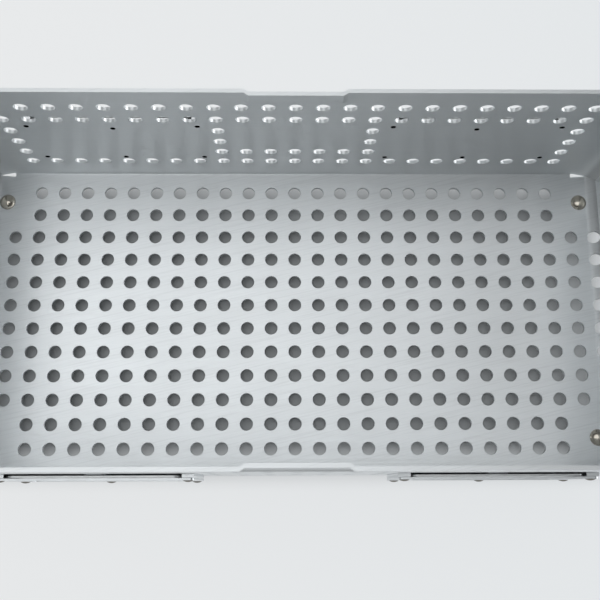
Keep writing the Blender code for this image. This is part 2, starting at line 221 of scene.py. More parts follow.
relief_near = end_in - WALL_CORNER - RELIEF_GAP
relief_far = relief_near + RELIEF_LENGTH
for sx in (-1, 1):
    for sy in (-1, 1):
        near, far = sorted((sx * relief_near, sx * relief_far))
        inside, outside = sorted((sy * (wall_in - RELIEF_WIDTH), sy * wall_middle))
        wedge = block("wedge", (near, inside, sheet_low.z - SHEET), (far, outside, floor_top + SIDE_BEND / 2))
        edit(wedge, "FACE", lambda middle, normal: normal.x * sx > ALONG)
        bpy.ops.transform.resize(value=(1, RELIEF_POINT, 1),
                                 center_override=(sx * end_in, sy * (wall_in - SIDE_BEND), 0))
        done()
        combine(container, wedge, "DIFFERENCE")

# The perforation: round holes of 5.3 mm on a 10 mm grid, punched before folding, so that the grid carries on
# round the end bends. Each hole has a fine chamfer where the punch broke the edge. The long walls have none
# behind the card holders and in a plain field at their middle.
PITCH = 0.010
HOLE = 0.0053
HOLE_SIDES = 24
EASED = 0.0001            # chamfer at both ends of a hole
FLOOR_ROWS = 12
FLOOR_REACH = 12          # columns to each side of the middle one
FULL_ROWS = 0.040         # rows further out are a hole shorter at both ends, with none in the bends
WALL_ROWS = 6
WALL_REACH = 11
TOP_ROW_DROP = 0.012
BEND_HOLE_TURN = 0.33     # radians round the end bend to its one column of holes
FIELD_HALF, FIELD_LOW, FIELD_HIGH = 0.025, 0.035, 0.055
HOLDER_MIDDLE = 0.0702
HOLDER_WIDTH = 0.070
HOLDER_HEIGHT = 0.0351
HOLDER_BASE = 0.0210


def punch_tool():
    """One punch, standing across a sheet whose middle is at the origin."""
    bpy.ops.object.select_all(action="DESELECT")
    bpy.ops.mesh.primitive_cylinder_add(vertices=HOLE_SIDES, radius=HOLE / 2, depth=SHEET - 2 * EASED,
                                        location=(0, 0, 0))
    tool = bpy.context.object
    share = 1 + 2 * EASED / HOLE
    for side in (-1, 1):
        edit(tool, "FACE", lambda middle, normal: normal.z * side > ALONG)
        bpy.ops.mesh.extrude_region_move(TRANSFORM_OT_translate={"value": (0, 0, side * EASED)})
        bpy.ops.transform.resize(value=(share, share, 1), center_override=(0, 0, 0))
        bpy.ops.mesh.extrude_region_move(TRANSFORM_OT_translate={"value": (0, 0, side * SHEET)})
        done()
    return tool


def repeated(tool, places):
    """Copies of a tool, each with its own mesh, joined into one; a place is (point, direction)."""
    made = []
    for point, direction in places:
        copy = tool.copy()
        copy.data = tool.data.copy()
        bpy.context.collection.objects.link(copy)
        turn = Vector((0, 0, 1)).rotation_difference(Vector(direction))
        copy.data.transform(Matrix.Translation(point) @ turn.to_matrix().to_4x4())
        made.append(copy)
    bpy.data.objects.remove(tool, do_unlink=True)
    only(made[0])
    for copy in made:
        copy.select_set(True)
    bpy.ops.object.join()
    return made[0]


def behind_holder(x, z):
    """Whether a wall hole would lie behind a card holder."""
    return abs(abs(x) - HOLDER_MIDDLE) < HOLDER_WIDTH / 2 and 0 < z - HOLDER_BASE < HOLDER_HEIGHT


def in_plain_field(x, z):
    """Whether it would lie in the plain field at the middle of the wall."""
    return abs(x) < FIELD_HALF and FIELD_LOW < z < FIELD_HIGH


hole_places = []
bend_middle = END_BEND + SHEET / 2
bend_x = end_in - END_BEND + bend_middle * math.sin(BEND_HOLE_TURN)
bend_z = floor_top + END_BEND - bend_middle * math.cos(BEND_HOLE_TURN)
for row in range(FLOOR_ROWS):
    y = (row - (FLOOR_ROWS - 1) / 2) * PITCH
    full = abs(y) < FULL_ROWS
    reach = FLOOR_REACH if full else FLOOR_REACH - 1
    for column in range(-reach, reach + 1):
        hole_places.append(((column * PITCH, y, sheet_middle), (0, 0, 1)))
    if full:
        for sx in (-1, 1):
            inward = (-sx * math.sin(BEND_HOLE_TURN), 0, math.cos(BEND_HOLE_TURN))
            hole_places.append(((sx * bend_x, y, bend_z), inward))
for row in range(WALL_ROWS):
    z = rim - TOP_ROW_DROP - row * PITCH
    for column in range(-WALL_REACH, WALL_REACH + 1):
        x = column * PITCH
        if not behind_holder(x, z) and not in_plain_field(x, z):
            for sy in (-1, 1):
                hole_places.append(((x, sy * wall_middle, z), (0, sy, 0)))


def divide(piece, point, across, **cut):
    """Divides all faces of a piece along a plane, at a far finer tolerance than Blender's own 0.1 mm."""
    edit(piece, "FACE", everything)
    bpy.ops.mesh.bisect(plane_co=point, plane_no=across, threshold=1e-7, **cut)
    done()


# The flats are divided between the holes first, because a Boolean can leave a skin over a hole in a large face.
for column in range(-FLOOR_REACH, FLOOR_REACH):
    divide(container, ((column + 0.5) * PITCH, 0, 0), (1, 0, 0))
for row in range(1 - FLOOR_ROWS // 2, FLOOR_ROWS // 2):
    divide(container, (0, row * PITCH, 0), (0, 1, 0))
for row in range(WALL_ROWS + 1):
    divide(container, (0, 0, rim - TOP_ROW_DROP - (row - 0.5) * PITCH), (0, 0, 1))
combine(container, repeated(punch_tool(), hole_places), "DIFFERENCE")

# Holes for the rivets: one for each foot, and six for each card holder, at places from its middle line.
FOOT_X, FOOT_Y = 0.1245, 0.0509
FOOT_RIVET_HOLE = 0.0034
HOLDER_RIVET_HOLE = 0.0021
RIVET_SPOTS = ((-0.0326, 0.0244), (0, 0.0244), (0.0326, 0.0244),
               (-0.0326, 0.0539), (0.0326, 0.0539), (0, 0.0520))


def drill(width, places):
    """A cutter for plain round holes through the sheet."""
    bpy.ops.object.select_all(action="DESELECT")
    bpy.ops.mesh.primitive_cylinder_add(vertices=HOLE_SIDES, radius=width / 2, depth=3 * SHEET,
                                        location=(0, 0, 0))
    return repeated(bpy.context.object, places)


foot_drills = [((sx * FOOT_X, sy * FOOT_Y, sheet_middle), (0, 0, 1)) for sx in (-1, 1) for sy in (-1, 1)]
wall_drills = [((sx * HOLDER_MIDDLE + x, sy * wall_middle, z), (0, sy, 0))
               for sx in (-1, 1) for sy in (-1, 1) for x, z in RIVET_SPOTS]
combine(container, drill(FOOT_RIVET_HOLE, foot_drills), "DIFFERENCE")
combine(container, drill(HOLDER_RIVET_HOLE, wall_drills), "DIFFERENCE")


def smooth(piece, has_flats=True):
    """Doubles merged, then smooth shading with sharp creases, and flats that stay flat beside their bends."""
    edit(piece, "FACE", everything)
    bpy.ops.mesh.remove_doubles(threshold=SAME)
    bpy.ops.mesh.normals_make_consistent(inside=False)
    done()
    bpy.ops.object.shade_smooth_by_angle(angle=math.radians(40))
    if not has_flats:
        return
    modifier = piece.modifiers.new("flats", "WEIGHTED_NORMAL")
    modifier.keep_sharp = True
    modifier.weight = 90
    bpy.ops.object.modifier_apply(modifier=modifier.name)


smooth(container)


def linear(code):
    """An sRGB hex colour in linear light."""
    parts = [int(code[i:i + 2], 16) / 255 for i in (1, 3, 5)]
    return [p / 12.92 if p <= 0.04045 else ((p + 0.055) / 1.055) ** 2.4 for p in parts] + [1.0]


def node(tree, kind, inputs=None, **settings):
    """Adds a node with its settings; each input is a value, or the socket that it is linked from."""
    made = tree.nodes.new("ShaderNode" + kind)
    for name, value in settings.items():
        setattr(made, name, value)
    for name, value in (inputs or {}).items():
        if isinstance(value, bpy.types.NodeSocket):
            tree.links.new(value, made.inputs[name])
        else:
            made.inputs[name].default_value = value
    return made


def finish_of(name, **constants):
    """A new material: its node tree, its shader with the sockets that stay constant set, and coordinates."""
    material = bpy.data.materials.new(name)
    material.use_nodes = True
    tree = material.node_tree
    shader = tree.nodes["Principled BSDF"]
    for socket, value in constants.items():
        shader.inputs[socket.replace("_", " ")].default_value = value
    return material, tree, shader, node(tree, "TexCoord").outputs["Object"]


NOISE_LOW, NOISE_HIGH = 0.3, 0.7         # nearly all values of a noise texture lie between these
BRUSH_TURN = math.radians(-1.0)          # the brushing isn't quite parallel to the walls
BRUSH_DEPTH = 0.00003
END_WALL_DEPTH = 0.0034                  # this close to an end's inner face, the brushing runs up
CLOUD = 0.035                            # width of the faint clouds that anodising leaves
CLOUD_TONE = 0.96
BEND_BLEND = 0.3                         # share of an end bend over which it gets duller, and darker by painted shade
# The end bends' darker colour is painted shade. Their higher roughness is the real duller finish.
BEND_PAINTED_SHADE, BEND_DULLER = 0.2, 0.25
WIPED_TURN = math.radians(13)            # of the hairlines that wiping has left on the floor
WIPED_LENGTH, WIPED_WIDTH = 0.035, 0.0006
WIPED_LOW, WIPED_HIGH = 0.5, 0.68
WIPED_DARKER = 0.06
FLOOR_FACING = 0.6                       # share of upward facing from which they show


def brushed_aluminium(name, pale, dark, roughness, line=0.0005, run=0.030):
    """Satin anodised aluminium: an even grey, a little blue, whose sheen is drawn out by fine brush lines.

    It is duller in the end bends, where folding stretched the skin, and darker there by painted shade. Wiping
    has left faint hairlines on the floor. Real brush lines and hairlines are a tenth as wide, and are drawn as
    coarse as they need to show.
    """
    material, tree, shader, place = finish_of(name, Metallic=1.0, Anisotropic=0.75)
    facing = node(tree, "NewGeometry").outputs["Normal"]
    outward = node(tree, "Math", {0: node(tree, "SeparateXYZ", {"Vector": place}).outputs["X"]},
                   operation="ABSOLUTE").outputs[0]
    end_wall = node(tree, "Math", {0: outward, 1: end_in - END_WALL_DEPTH}, operation="GREATER_THAN").outputs[0]

    along = node(tree, "Mapping", {"Vector": place, "Rotation": (0, 0, BRUSH_TURN),
                                   "Scale": (1 / run, 1 / line, 1 / line)}).outputs[0]
    upright = node(tree, "Mapping", {"Vector": place, "Scale": (1 / line, 1 / line, 1 / run)}).outputs[0]
    lines_at = node(tree, "Mix", {0: end_wall, 4: along, 5: upright}, data_type="VECTOR").outputs[1]
    lines = node(tree, "TexNoise", {"Vector": lines_at, "Scale": 1.0, "Detail": 3.0,
                                    "Roughness": 0.65}).outputs[0]
    tone = node(tree, "Mix", {0: lines, 6: linear(dark), 7: linear(pale)}, data_type="RGBA").outputs[2]

    cloud = node(tree, "TexNoise", {"Vector": place, "Scale": 1 / CLOUD, "Detail": 2.0}).outputs[0]
    haze_and_shade = node(tree, "MapRange", {"Value": cloud, "From Min": NOISE_LOW, "From Max": NOISE_HIGH,
                                   "To Min": CLOUD_TONE, "To Max": 1.0}).outputs[0]
    bend = node(tree, "MapRange", {"Value": outward, "From Min": end_in - END_BEND,
                                   "From Max": end_in - (1 - BEND_BLEND) * END_BEND},
                interpolation_type="SMOOTHSTEP").outputs[0]
    bend = node(tree, "Math", {0: bend, 1: end_wall}, operation="SUBTRACT", use_clamp=True).outputs[0]
    # Painted shade: the base colour is darkened over the end bends, on top of the clouds and hairlines.
    haze_and_shade = node(tree, "Math", {0: bend, 1: -BEND_PAINTED_SHADE, 2: haze_and_shade}, operation="MULTIPLY_ADD").outputs[0]
    hairs_at = node(tree, "Mapping", {"Vector": place, "Rotation": (0, 0, WIPED_TURN),
                                      "Scale": (WIPED_LENGTH, WIPED_WIDTH, WIPED_LENGTH)},
                    vector_type="TEXTURE").outputs[0]
    hairs = node(tree, "TexNoise", {"Vector": hairs_at, "Scale": 1.0, "Detail": 2.0}).outputs[0]
    worn = node(tree, "MapRange", {"Value": hairs, "From Min": WIPED_LOW, "From Max": WIPED_HIGH,
                                   "To Max": -WIPED_DARKER}).outputs[0]
    upward = node(tree, "SeparateXYZ", {"Vector": facing}).outputs["Z"]
    level = node(tree, "MapRange", {"Value": upward, "From Min": FLOOR_FACING, "From Max": 1.0}).outputs[0]
    haze_and_shade = node(tree, "Math", {0: worn, 1: level, 2: haze_and_shade}, operation="MULTIPLY_ADD").outputs[0]
    tone = node(tree, "VectorMath", {0: tone, "Scale": haze_and_shade}, operation="SCALE").outputs[0]
    tree.links.new(tone, shader.inputs["Base Color"])

    gloss = node(tree, "MapRange", {"Value": lines, "From Min": NOISE_LOW, "From Max": NOISE_HIGH,
                                    "To Min": roughness - 0.04, "To Max": roughness + 0.04}).outputs[0]
    gloss = node(tree, "Math", {0: bend, 1: BEND_DULLER, 2: gloss}, operation="MULTIPLY_ADD").outputs[0]
    tree.links.new(gloss, shader.inputs["Roughness"])
    bump = node(tree, "Bump", {"Height": lines, "Strength": 0.35, "Distance": BRUSH_DEPTH}).outputs[0]
    tree.links.new(bump, shader.inputs["Normal"])

    # The trace of Z keeps the product from vanishing on the sides of a hole that face along the lines.
    run_of_lines = node(tree, "Mix", {0: end_wall, 4: (1, 0, 0.01), 5: (0, 1, 0.01)},
                        data_type="VECTOR").outputs[1]
    across = node(tree, "VectorMath", {0: facing, 1: run_of_lines}, operation="CROSS_PRODUCT").outputs[0]
    tree.links.new(across, shader.inputs["Tangent"])
    return material


def dressed(piece, finishes, body, slot, *stands_for):
    """Gives a finished piece its finishes and its body, and hides the node that it stands for. The slot is not
    used.
    """
    for finish in finishes:
        piece.data.materials.append(finish)
    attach(piece, body)
    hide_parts(*stands_for)


sheet_finish = brushed_aluminium("satin_anodised_sheet", "#EDEFF0", "#E2E6E8", 0.42)
dressed(container, [sheet_finish], "box", "satin_aluminium", "body")


# The feet. Four moulded silicone rings, recessed below so that the rivet's tail keeps clear of the table. They
# hold the box 4 mm up, so that steam and water drain from under it.

FOOT_RADIUS = 0.006
FOOT_SIDES = 48
FOOT_RECESS = 0.0037
FOOT_RECESS_DEPTH = 0.0022
FOOT_BORE = 0.0017
FOOT_BORE_SIDES = 32
FOOT_EDGE = 0.0006
FOOT_EDGE_FACETS = 3
RECESS_EDGE = 0.0003
TIGHT = 0.00002           # keeps two faces that are riveted together from lying in one plane


def moulded_foot():
    """One foot, standing on the origin: a disc, recessed from below, bored through and eased all round."""
    height = sheet_low.z - TIGHT
    bpy.ops.object.select_all(action="DESELECT")
    bpy.ops.mesh.primitive_cylinder_add(vertices=FOOT_SIDES, radius=FOOT_RADIUS, depth=height,
                                        location=(0, 0, height / 2))
    foot = settle(bpy.context.object)
    edit(foot, "FACE", lambda middle, normal: normal.z < -ALONG)
    bpy.ops.mesh.inset(thickness=FOOT_RADIUS - FOOT_RECESS)
    bpy.ops.mesh.extrude_region_move(TRANSFORM_OT_translate={"value": (0, 0, FOOT_RECESS_DEPTH)})
    done()
    round_edges(foot, FOOT_EDGE, FOOT_EDGE_FACETS,
                lambda middle, along, fold: abs(along.z) < ACROSS
                and math.hypot(middle.x, middle.y) > FOOT_RADIUS - FOOT_EDGE)
    round_edges(foot, RECESS_EDGE, FINE_FACETS,
                lambda middle, along, fold: abs(along.z) < ACROSS and middle.z < SAME
                and math.hypot(middle.x, middle.y) < FOOT_RECESS + RECESS_EDGE)
    bpy.ops.object.select_all(action="DESELECT")
    bpy.ops.mesh.primitive_cylinder_add(vertices=FOOT_BORE_SIDES, radius=FOOT_BORE, depth=3 * height,
                                        location=(0, 0, 0))
    combine(foot, bpy.context.object, "DIFFERENCE")
    smooth(foot)
    return foot


def copy_of(piece, name, place):
    """A copy with its own mesh, put in place by a matrix."""
    copy = piece.copy()
    copy.data = piece.data.copy()
    copy.name = copy.data.name = name
    copy.data.transform(place)
    bpy.context.collection.objects.link(copy)
    return copy


SILICONE_GRAIN = 0.0004   # of the blasted mould


def silicone(name):
    """Moulded silicone rubber: matt, a neutral grey, with the fine texture of a blasted mould."""
    material, tree, shader, place = finish_of(name, Metallic=0.0, IOR=1.41)
    grain = node(tree, "TexNoise", {"Vector": place, "Scale": 1 / SILICONE_GRAIN, "Detail": 2.0}).outputs[0]
    tone = node(tree, "Mix", {0: grain, 6: linear("#74787A"), 7: linear("#83878A")},
                data_type="RGBA").outputs[2]
    tree.links.new(tone, shader.inputs["Base Color"])
    gloss = node(tree, "MapRange", {"Value": grain, "To Min": 0.52, "To Max": 0.68}).outputs[0]
    tree.links.new(gloss, shader.inputs["Roughness"])
    bump = node(tree, "Bump", {"Height": grain, "Strength": 0.4, "Distance": 0.00005}).outputs[0]
    tree.links.new(bump, shader.inputs["Normal"])
    return material


foot_finish = silicone("moulded_silicone")
foot = moulded_foot()
for row, sy in (("front", -1), ("back", 1)):
    for end, sx in (("left", -1), ("right", 1)):
        name = f"{row}_{end}_foot"
        made = copy_of(foot, name + "_ring", Matrix.Translation((sx * FOOT_X, sy * FOOT_Y, 0)))
        dressed(made, [foot_finish], "box", "grey_silicone", name)
bpy.data.objects.remove(foot, do_unlink=True)


# The feet's rivets. Domed stainless rivets of 3.2 mm, put in from inside the box and closed in the recess of
# each foot. Their heads are bright and mirror the walls around them.

DOME_RADIUS = 0.0035
DOME_HEIGHT = 0.0019
DOME_SIDES = 40
HEAD_TO_EDGE = 6          # a head is this many times as high as its rounded edge
FOOT_SHANK = 0.0016
FOOT_TAIL = 0.0030
FOOT_TAIL_HEIGHT = 0.0007
FOOT_TAIL_EDGE = 0.0002


def domed_rivet(head, height, shank, length):
    """A rivet on the origin with its head above: part of a ball, cut flat, drawn out into its shank."""
    ball = (head ** 2 + height ** 2) / (2 * height)
    edge = height / HEAD_TO_EDGE
    bpy.ops.object.select_all(action="DESELECT")
    bpy.ops.mesh.primitive_uv_sphere_add(segments=DOME_SIDES, ring_count=DOME_SIDES, radius=ball,
                                         location=(0, 0, height - ball))
    rivet = settle(bpy.context.object)
    divide(rivet, (0, 0, 0), (0, 0, 1), use_fill=True, clear_inner=True)
    round_edges(rivet, edge, FINE_FACETS, lambda middle, along, fold: abs(middle.z) < SAME)
    edit(rivet, "FACE", lambda middle, normal: normal.z < -0.999)
    bpy.ops.mesh.inset(thickness=head - edge - shank)
    bpy.ops.mesh.extrude_region_move(TRANSFORM_OT_translate={"value": (0, 0, -length)})
    done()
    return rivet


HAIR_LENGTH, HAIR_WIDTH = 0.003, 0.00015
WHEEL_TURN = (0.2, 0.1, 0.6)             # radians, of the hairlines


def bright_steel(name, pale, dark, roughness):
    """Ground or polished steel: a mirror that its roughness dulls, with the hairlines of the polishing wheel.

    Real hairlines are a tenth as wide as these, which is as fine as shows.
    """
    material, tree, shader, place = finish_of(name, Metallic=1.0)
    hairs_at = node(tree, "Mapping", {"Vector": place, "Rotation": WHEEL_TURN,
                                      "Scale": (1 / HAIR_LENGTH, 1 / HAIR_WIDTH, 1 / HAIR_LENGTH)}).outputs[0]
    hairs = node(tree, "TexNoise", {"Vector": hairs_at, "Scale": 1.0, "Detail": 2.0}).outputs[0]
    tone = node(tree, "Mix", {0: hairs, 6: linear(dark), 7: linear(pale)}, data_type="RGBA").outputs[2]
    tree.links.new(tone, shader.inputs["Base Color"])
    gloss = node(tree, "MapRange", {"Value": hairs, "To Min": roughness - 0.03, "To Max": roughness + 0.06})
    tree.links.new(gloss.outputs[0], shader.inputs["Roughness"])
    bump = node(tree, "Bump", {"Height": hairs, "Strength": 0.15, "Distance": 0.00001}).outputs[0]
    tree.links.new(bump, shader.inputs["Normal"])
    return material


# Polished stainless steel is nearly a mirror, and faintly warm beside the aluminium.
rivet_finish = bright_steel("polished_stainless", "#C9C3B8", "#B0AA9E", 0.05)
seat = floor_top + TIGHT
tail_at = FOOT_RECESS_DEPTH - TIGHT
foot_rivet = domed_rivet(DOME_RADIUS, DOME_HEIGHT, FOOT_SHANK, seat - tail_at)
edit(foot_rivet, "FACE", lambda middle, normal: normal.z < -ALONG and middle.z < -SHEET)
bpy.ops.mesh.extrude_region_move(TRANSFORM_OT_translate={"value": (0, 0, 0)})
bpy.ops.transform.resize(value=(FOOT_TAIL / FOOT_SHANK, FOOT_TAIL / FOOT_SHANK, 1))
bpy.ops.mesh.extrude_region_move(TRANSFORM_OT_translate={"value": (0, 0, -FOOT_TAIL_HEIGHT)})
done()
round_edges(foot_rivet, FOOT_TAIL_EDGE, FINE_FACETS,
            lambda middle, along, fold: middle.z < -SHEET and abs(along.z) < ACROSS
            and math.hypot(middle.x, middle.y) > FOOT_TAIL - 2 * FOOT_TAIL_EDGE)
smooth(foot_rivet, has_flats=False)
for row, sy in (("front", -1), ("back", 1)):
    for end, sx in (("left", -1), ("right", 1)):
        name = f"{row}_{end}_foot_rivet"
        made = copy_of(foot_rivet, name + "_dome", Matrix.Translation((sx * FOOT_X, sy * FOOT_Y, seat)))
        dressed(made, [rivet_finish], "box", "polished_steel", name)
bpy.data.objects.remove(foot_rivet, do_unlink=True)


# The spacers of the four card holders. Each is a U of 1.5 mm aluminium strip against the outside of the long
# wall, which holds the front frame off the wall by the depth of the card's slot. It is brushed as the box is.

RAIL = 0.0044
SILL = 0.0058
SLOT_DEPTH = 0.0015
STRIP_CORNER = 0.0015
PLATE_CORNER_FACETS = 6
EDGE_EASED = 0.00012
HOLDER_AT = -HOLDER_MIDDLE
HOLDER_TOP = HOLDER_BASE + HOLDER_HEIGHT


def place_of(row, end):
    """Moves what was made at the front left to its own holder; those at the back are turned half round."""
    along = 2 * HOLDER_MIDDLE if (end == "right") == (row == "front") else 0
    turn = Matrix.Rotation(math.pi if row == "back" else 0, 4, "Z")
    return turn @ Matrix.Translation((along, 0, 0))


def plate(name, half_width, low, high, back, front):
    """A plate of the front left holder, between two distances out from the wall."""
    return block(name, (HOLDER_AT - half_width, -wall_out - front, low),
                 (HOLDER_AT + half_width, -wall_out - back, high))


def round_corners(piece, radius, wanted=lambda middle: True):
    round_edges(piece, radius, PLATE_CORNER_FACETS,
                lambda middle, along, fold: abs(along.y) > ALONG and wanted(middle))


def ease_edges(piece, amount=EDGE_EASED):
    """Breaks the edges of a plate's two faces, and leaves those between its side facets."""
    round_edges(piece, amount, FINE_FACETS, lambda middle, along, fold: abs(along.y) < ACROSS)


def copies_for_holders(piece, part, finishes, slot):
    """One copy for each of the four holders, and then the pattern piece goes."""
    for row in ("front", "back"):
        for end in ("left", "right"):
            node_name = f"{row}_{end}_{part}"
            made = copy_of(piece, node_name + "_made", place_of(row, end))
            body = f"{row}_{end}_label" if part == "card" else "box"
            dressed(made, finishes, body, slot, node_name)
    bpy.data.objects.remove(piece, do_unlink=True)


half = HOLDER_WIDTH / 2
spacer = plate("spacer", half, HOLDER_BASE, HOLDER_TOP, TIGHT, SLOT_DEPTH - TIGHT)
round_corners(spacer, STRIP_CORNER, lambda middle: middle.z < HOLDER_BASE + SILL)
slot = plate("slot", half - RAIL, HOLDER_BASE + SILL, HOLDER_TOP + SHEET, -SHEET, SLOT_DEPTH + SHEET)
combine(spacer, slot, "DIFFERENCE")
ease_edges(spacer)
smooth(spacer)
# Strip is brushed finer than the sheet and keeps a little more sheen.
strip_finish = brushed_aluminium("satin_anodised_strip", "#ECEEEF", "#E1E4E6", 0.33, line=0.0003, run=0.012)
copies_for_holders(spacer, "spacer", [strip_finish], "satin_aluminium")


# The leaf springs. A strip of spring steel behind each card, riveted at its upper end and bowed a little, which
# presses the card against the front frame.

SPRING_WIDTH = 0.009
SPRING_LOW = HOLDER_BASE + 0.0095
SPRING_HIGH = HOLDER_BASE + 0.0335
SPRING_THICKNESS = 0.0003
SPRING_BOW = 0.00022
SPRING_BOWED = 0.8        # share of its length that is bowed; the rest lies flat under its rivet

spring = plate("leaf_spring", SPRING_WIDTH / 2, SPRING_LOW, SPRING_HIGH, TIGHT, TIGHT + SPRING_THICKNESS)
round_corners(spring, SPRING_WIDTH / 4)
for share in (0.12, 0.24, 0.36, 0.48, 0.60, 0.72, 0.84, 0.94):
    level = SPRING_LOW + share * (SPRING_HIGH - SPRING_LOW)
    divide(spring, (HOLDER_AT, -wall_out, level), (0, 0, 1))
    if share < SPRING_BOWED:
        bow = SPRING_BOW * math.sin(math.pi * share / SPRING_BOWED)
        edit(spring, "EDGE",
             lambda middle, along, fold: abs(middle.z - level) < SAME and abs(along.z) < ACROSS)
        bpy.ops.transform.translate(value=(0, -bow, 0))
        done()
smooth(spring)
# Hardened and tempered strip: blue-grey, and duller than the polished rivets.
spring_finish = bright_steel("blue_grey_spring_steel", "#9C9EA1", "#85878B", 0.28)
copies_for_holders(spring, "leaf_spring", [spring_finish], "spring_steel")


# The cards. A blank plate of thin aluminium with rounded corners, anodised pale, that drops into the slot from
# above. Nothing is marked on it.

CARD_PLAY = 0.0004        # to each rail
CARD_LIFT = 0.0003        # above the sill
CARD_TOP = HOLDER_TOP - 0.0003
CARD_BACK = 0.00062
CARD_FRONT = 0.0013
CARD_CORNER = 0.0025
CARD_EASED = 0.00008

card = plate("card", half - RAIL - CARD_PLAY, HOLDER_BASE + SILL + CARD_LIFT, CARD_TOP,
             CARD_BACK, CARD_FRONT)
round_corners(card, CARD_CORNER)
ease_edges(card, CARD_EASED)
smooth(card)
# Thin plate takes the finest brushing and the palest anodising of the container's aluminium.
card_finish = brushed_aluminium("pale_anodised_card", "#F0F1F1", "#E6E8E8", 0.42, line=0.0002, run=0.006)
copies_for_holders(card, "card", [card_finish], "satin_aluminium")


# The front frames. A stamped aluminium plate with a window, which keeps the card in its slot. It lies on the
# spacer under the same rivets.

WINDOW_LIP = 0.0030
WINDOW_TOP_BAR = 0.0044
WINDOW_CORNER = 0.0020
FRAME_FRONT = 0.0023

front = plate("front_frame", half, HOLDER_BASE, HOLDER_TOP, SLOT_DEPTH, FRAME_FRONT)
round_corners(front, STRIP_CORNER)
window = plate("window", half - RAIL - WINDOW_LIP, HOLDER_BASE + SILL + WINDOW_LIP,
               HOLDER_TOP - WINDOW_TOP_BAR, SLOT_DEPTH - SHEET, FRAME_FRONT + SHEET)
round_corners(window, WINDOW_CORNER)
combine(front, window, "DIFFERENCE")
ease_edges(front)
smooth(front)
copies_for_holders(front, "frame", [strip_finish], "satin_aluminium")


# The holders' rivets. Semi-tubular steel rivets of 2 mm, headed outside and set flush in the wall, so that
# inside the box only the dark mouths of their bores show. The spring's rivet has no head outside.

RIVET_SHANK = 0.0010
RIVET_HEAD = 0.0019
RIVET_BORE = 0.00096
RIVET_BORE_DEPTH = 0.0021
RIVET_DARK = RIVET_BORE * 1.01    # the bore's faces lie within this, and the thin ring at its mouth
SPRING_RIVET_BORE_DEPTH = 0.0012
RIVET_PROUD = 0.0029      # from the wall to the top of a head
RIVET_SEAT = FRAME_FRONT + TIGHT


def bored(rivet, depth):
    """Opens the flush end of a rivet into its bore and turns the rivet to stand out from the front wall."""
    bottom = min(corner.co.z for corner in rivet.data.vertices)
    edit(rivet, "FACE", lambda middle, normal: normal.z < -ALONG and middle.z < bottom + SAME)
    bpy.ops.mesh.inset(thickness=RIVET_SHANK - RIVET_BORE)
    bpy.ops.mesh.extrude_region_move(TRANSFORM_OT_translate={"value": (0, 0, depth)})
    done()
    # The bore's faces, and the thin ring at its mouth, take the second finish: near-black painted shade.
    for face in rivet.data.polygons:
        inside = math.hypot(face.center.x, face.center.y) < RIVET_DARK
        face.material_index = 1 if inside and face.center.z < bottom + depth + SAME else 0
    smooth(rivet, has_flats=False)
    rivet.data.transform(Matrix.Rotation(math.radians(90), 4, "X"))
    return rivet


BORE_GRAIN = 0.0003       # of the drawn wall


def dark_bore(name):
    """The inside of a bore, never polished, painted near black as shade for the dark that fills it."""
    material, tree, shader, place = finish_of(name, Metallic=1.0)
    drawn = node(tree, "TexNoise", {"Vector": place, "Scale": 1 / BORE_GRAIN, "Detail": 1.0}).outputs[0]
    tone = node(tree, "Mix", {0: drawn, 6: linear("#0F0F10"), 7: linear("#1C1C1D")},
                data_type="RGBA").outputs[2]
    tree.links.new(tone, shader.inputs["Base Color"])
    gloss = node(tree, "MapRange", {"Value": drawn, "To Min": 0.55, "To Max": 0.75}).outputs[0]
    tree.links.new(gloss, shader.inputs["Roughness"])
    return material


# These rivets are a duller steel than the feet's, and their darker grey is painted shade, for the shadow round
# their heads.
shade_darkened_rivet_finish = bright_steel("shade_darkened_rivet_steel", "#77726A", "#5F5B54", 0.30)
# The bores' near-black finish is painted shade.
bore_painted_shade = dark_bore("painted_shade_bore")
corner_rivet = domed_rivet(RIVET_HEAD, RIVET_PROUD - RIVET_SEAT, RIVET_SHANK, RIVET_SEAT + SHEET)
bored(corner_rivet, RIVET_BORE_DEPTH)
names = ("rivet_low_left", "rivet_low_middle", "rivet_low_right", "rivet_high_left", "rivet_high_right")
for name, (x, z) in zip(names, RIVET_SPOTS):
    spot = Matrix.Translation((HOLDER_AT + x, -wall_out - RIVET_SEAT, z))
    copies_for_holders(copy_of(corner_rivet, name, spot), name, [shade_darkened_rivet_finish, bore_painted_shade], "polished_steel")
bpy.data.objects.remove(corner_rivet, do_unlink=True)

flush_length = SHEET + TIGHT + SPRING_THICKNESS
bpy.ops.object.select_all(action="DESELECT")
bpy.ops.mesh.primitive_cylinder_add(vertices=DOME_SIDES, radius=RIVET_SHANK, depth=flush_length,
                                    location=(0, 0, -flush_length / 2))
spring_rivet = settle(bpy.context.object)
bored(spring_rivet, SPRING_RIVET_BORE_DEPTH)
x, z = RIVET_SPOTS[5]
spring_rivet.data.transform(Matrix.Translation((HOLDER_AT + x, -wall_out - TIGHT - SPRING_THICKNESS, z)))
copies_for_holders(spring_rivet, "spring_rivet", [shade_darkened_rivet_finish, bore_painted_shade], "polished_steel")


# The studio: a pale laminate table in a bright room, under a large soft light nearly overhead, a little to the
# left and behind. The room's walls are pale, and brighter to the right, where its window is.

TABLE_SIZE = 5.0
TABLE_CLOUD = 0.25            # width of the faint clouds in the laminate
TABLE_WHITE = 0.75            # share of its own white that the table shows to the camera and in mirrors
SHADE_HALF = (0.122, 0.051)   # half the area under the box that gets none of it
SHADE_EDGE = 0.022            # over which the white sets in
WHITE_MIDDLE, WHITE_SLOPE = 0.5, -1.2    # of its slight fall to the right, per metre: painted light, brighter towards the soft light on the left

